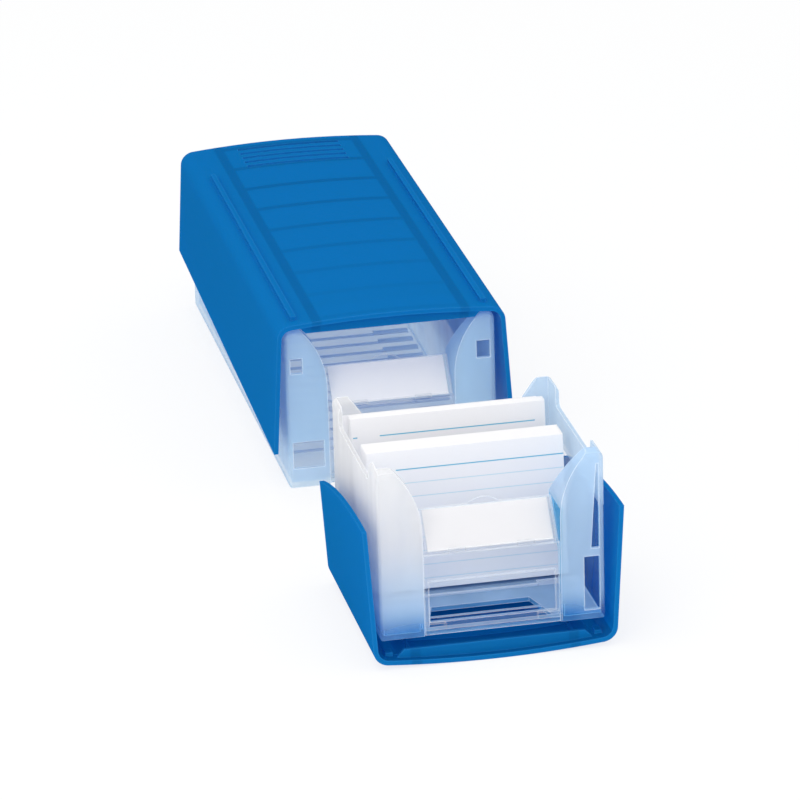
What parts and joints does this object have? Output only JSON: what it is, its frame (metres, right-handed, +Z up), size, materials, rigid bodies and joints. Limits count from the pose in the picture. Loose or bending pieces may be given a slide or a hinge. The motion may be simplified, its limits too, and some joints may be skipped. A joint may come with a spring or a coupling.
{
  "type": "index card drawer",
  "caption": "Index card set for A8 cards: a long covered tray and a short open tray standing in its upturned cover, with labels, backing plates and cards.",
  "frame": {"origin": "centre of the footprint on the table", "axes": "+Z up, the label fronts face -Y, the two boxes lie in line along Y, X across them"},
  "size_m": [0.0936, 0.403, 0.0752],
  "materials": {
    "frosted_plastic": "frosted translucent",
    "clear_plastic": "clear, glossy",
    "blue_plastic": "blue translucent, fine grained",
    "label_card": "matte white",
    "ruled_card": "matte white with blue rules",
    "card_stock": "matte white"
  },
  "bodies": {
    "long_box": {"long_tray": "frosted_plastic", "long_front_panel": "clear_plastic", "long_label_window": "clear_plastic"},
    "long_cover": {"long_cover": "blue_plastic"},
    "long_label": {"long_label_slip": "label_card"},
    "long_plate": {"long_backing_plate": "frosted_plastic"},
    "short_base": {"short_cover": "blue_plastic"},
    "short_box": {"short_tray": "frosted_plastic", "short_front_panel": "clear_plastic", "short_label_window": "clear_plastic"},
    "short_label": {"short_label_slip": "label_card"},
    "short_plate": {"short_backing_plate": "frosted_plastic"},
    "front_cards": {"front_lead_card": "ruled_card", "front_card_stack": "card_stock"},
    "rear_cards": {"rear_lead_card": "ruled_card", "rear_card_stack": "card_stock", "rear_stray_card": "ruled_card"}
  },
  "joints": [
    {"name": "long_cover_lift", "type": "slide", "parent": "long_box", "child": "long_cover", "axis": [0, 0, 1], "range_m": [0, 0.07]},
    {"name": "long_label_slide", "type": "slide", "parent": "long_box", "child": "long_label", "axis": [0, 0.6157, 0.788], "range_m": [0, 0.018]},
    {"name": "long_plate_slide", "type": "slide", "parent": "long_box", "child": "long_plate", "axis": [0, 1, 0], "range_m": [-0.14, 0.03]},
    {"name": "short_base_slide", "type": "slide", "parent": "long_box", "child": "short_base", "axis": [0, 1, 0], "range_m": [0, 0.08]},
    {"name": "short_box_lift", "type": "slide", "parent": "short_base", "child": "short_box", "axis": [0, 0, 1], "range_m": [0, 0.06]},
    {"name": "short_label_slide", "type": "slide", "parent": "short_box", "child": "short_label", "axis": [0, 0.6157, 0.788], "range_m": [0, 0.018]},
    {"name": "short_plate_slide", "type": "slide", "parent": "short_box", "child": "short_plate", "axis": [0, 1, 0], "range_m": [-0.009, 0]},
    {"name": "rear_cards_tilt", "type": "hinge", "parent": "short_plate", "child": "rear_cards", "pos_m": [0, -0.1313, 0.0125], "axis": [1, 0, 0], "range_deg": [0, 9]},
    {"name": "front_cards_tilt", "type": "hinge", "parent": "short_box", "child": "front_cards", "pos_m": [0, -0.16, 0.0125], "axis": [1, 0, 0], "range_deg": [0, 20]}
  ]
}
